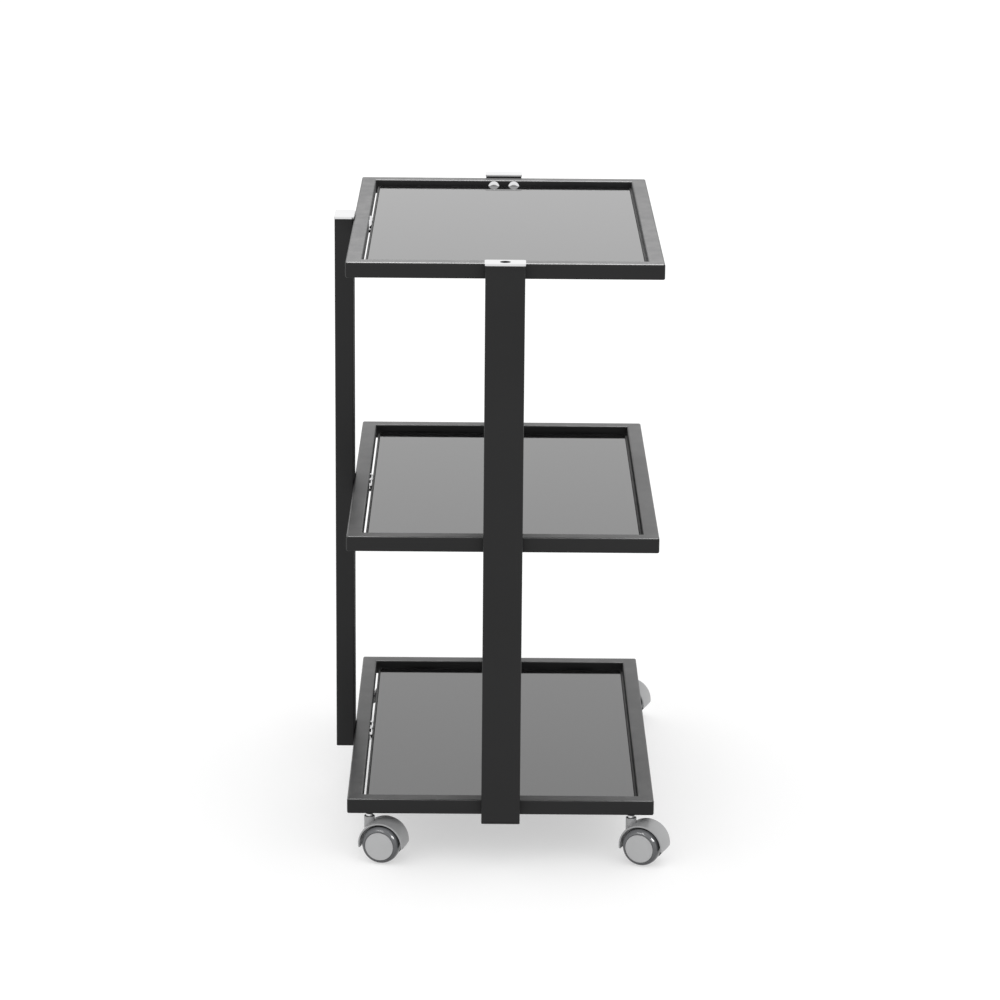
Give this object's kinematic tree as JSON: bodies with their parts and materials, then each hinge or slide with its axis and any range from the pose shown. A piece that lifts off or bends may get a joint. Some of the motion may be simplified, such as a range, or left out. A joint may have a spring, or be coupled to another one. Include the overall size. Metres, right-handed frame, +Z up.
{
  "type": "three-tier service trolley",
  "caption": "Narrow three-tier trolley: black steel frames with recessed black glass shelves, bolted to three flat posts, on twin-wheel swivel castors.",
  "frame": {"origin": "on the floor, below the middle of the whole trolley's bounding box", "axes": "+Z up, +X towards the open long side on the right, +Y towards the back post; the front post with the lamp socket is at -Y"},
  "size_m": [0.4496, 0.6526, 0.8016],
  "materials": {
    "powder_coat": "satin black powder coat",
    "black_glass": "polished black glass with ground edges",
    "chrome": "bright chrome plate",
    "zinc_steel": "zinc plated steel",
    "black_plastic": "moulded black plastic",
    "castor_grey": "moulded light grey nylon",
    "castor_tyre": "smooth dark grey polyurethane"
  },
  "bodies": {
    "root": {"bottom_frame": "powder_coat", "bottom_glass": "black_glass", "middle_frame": "powder_coat", "middle_glass": "black_glass", "top_frame": "powder_coat", "top_glass": "black_glass", "front_post": "powder_coat", "front_post_cap": "chrome", "front_post_plug": "black_plastic", "bolt_front_post_bottom_1": "chrome", "bolt_front_post_bottom_2": "chrome", "bolt_front_post_middle_1": "chrome", "bolt_front_post_middle_2": "chrome", "bolt_front_post_top_1": "chrome", "bolt_front_post_top_2": "chrome", "back_post": "powder_coat", "back_post_cap": "chrome", "back_post_plug": "black_plastic", "bolt_back_post_bottom_1": "chrome", "bolt_back_post_bottom_2": "chrome", "bolt_back_post_middle_1": "chrome", "bolt_back_post_middle_2": "chrome", "bolt_back_post_top_1": "chrome", "bolt_back_post_top_2": "chrome", "left_post": "powder_coat", "left_post_cap": "chrome", "left_post_plug": "black_plastic", "bolt_left_post_bottom_1": "chrome", "bolt_left_post_bottom_2": "chrome", "bolt_left_post_middle_1": "chrome", "bolt_left_post_middle_2": "chrome", "bolt_left_post_top_1": "chrome", "bolt_left_post_top_2": "chrome", "lamp_socket_sleeve": "zinc_steel", "castor_front_left_stem": "chrome", "castor_front_right_stem": "chrome", "castor_back_left_stem": "chrome", "castor_back_right_stem": "chrome"},
    "castor_front_left_swivel": {"castor_front_left_housing": "castor_grey", "castor_front_left_axle": "zinc_steel"},
    "castor_front_left_wheel_near": {"castor_front_left_wheel_near": "castor_tyre"},
    "castor_front_left_wheel_far": {"castor_front_left_wheel_far": "castor_tyre"},
    "castor_front_right_swivel": {"castor_front_right_housing": "castor_grey", "castor_front_right_axle": "zinc_steel"},
    "castor_front_right_wheel_near": {"castor_front_right_wheel_near": "castor_tyre"},
    "castor_front_right_wheel_far": {"castor_front_right_wheel_far": "castor_tyre"},
    "castor_back_left_swivel": {"castor_back_left_housing": "castor_grey", "castor_back_left_axle": "zinc_steel"},
    "castor_back_left_wheel_near": {"castor_back_left_wheel_near": "castor_tyre"},
    "castor_back_left_wheel_far": {"castor_back_left_wheel_far": "castor_tyre"},
    "castor_back_right_swivel": {"castor_back_right_housing": "castor_grey", "castor_back_right_axle": "zinc_steel"},
    "castor_back_right_wheel_near": {"castor_back_right_wheel_near": "castor_tyre"},
    "castor_back_right_wheel_far": {"castor_back_right_wheel_far": "castor_tyre"}
  },
  "joints": [
    {"name": "castor_front_left_swivel_turn", "type": "hinge", "parent": "root", "child": "castor_front_left_swivel", "pos_m": [-0.16946, -0.29, 0.059], "axis": [0, 0, 1], "continuous": true},
    {"name": "castor_front_left_wheel_near_roll", "type": "hinge", "parent": "castor_front_left_swivel", "child": "castor_front_left_wheel_near", "pos_m": [-0.15107, -0.29476, 0.025], "axis": [0.2504, 0.9681, 0], "continuous": true},
    {"name": "castor_front_left_wheel_far_roll", "type": "hinge", "parent": "castor_front_left_swivel", "child": "castor_front_left_wheel_far", "pos_m": [-0.15107, -0.29476, 0.025], "axis": [0.2504, 0.9681, 0], "continuous": true},
    {"name": "castor_front_right_swivel_turn", "type": "hinge", "parent": "root", "child": "castor_front_right_swivel", "pos_m": [0.17254, -0.29, 0.059], "axis": [0, 0, 1], "continuous": true},
    {"name": "castor_front_right_wheel_near_roll", "type": "hinge", "parent": "castor_front_right_swivel", "child": "castor_front_right_wheel_near", "pos_m": [0.19015, -0.29712, 0.025], "axis": [0.3746, 0.9272, 0], "continuous": true},
    {"name": "castor_front_right_wheel_far_roll", "type": "hinge", "parent": "castor_front_right_swivel", "child": "castor_front_right_wheel_far", "pos_m": [0.19015, -0.29712, 0.025], "axis": [0.3746, 0.9272, 0], "continuous": true},
    {"name": "castor_back_left_swivel_turn", "type": "hinge", "parent": "root", "child": "castor_back_left_swivel", "pos_m": [-0.16946, 0.29, 0.059], "axis": [0, 0, 1], "continuous": true},
    {"name": "castor_back_left_wheel_near_roll", "type": "hinge", "parent": "castor_back_left_swivel", "child": "castor_back_left_wheel_near", "pos_m": [-0.15129, 0.28444, 0.025], "axis": [0.2924, 0.9563, 0], "continuous": true},
    {"name": "castor_back_left_wheel_far_roll", "type": "hinge", "parent": "castor_back_left_swivel", "child": "castor_back_left_wheel_far", "pos_m": [-0.15129, 0.28444, 0.025], "axis": [0.2924, 0.9563, 0], "continuous": true},
    {"name": "castor_back_right_swivel_turn", "type": "hinge", "parent": "root", "child": "castor_back_right_swivel", "pos_m": [0.17254, 0.29, 0.059], "axis": [0, 0, 1], "continuous": true},
    {"name": "castor_back_right_wheel_near_roll", "type": "hinge", "parent": "castor_back_right_swivel", "child": "castor_back_right_wheel_near", "pos_m": [0.19039, 0.2835, 0.025], "axis": [0.342, 0.9397, 0], "continuous": true},
    {"name": "castor_back_right_wheel_far_roll", "type": "hinge", "parent": "castor_back_right_swivel", "child": "castor_back_right_wheel_far", "pos_m": [0.19039, 0.2835, 0.025], "axis": [0.342, 0.9397, 0], "continuous": true}
  ]
}
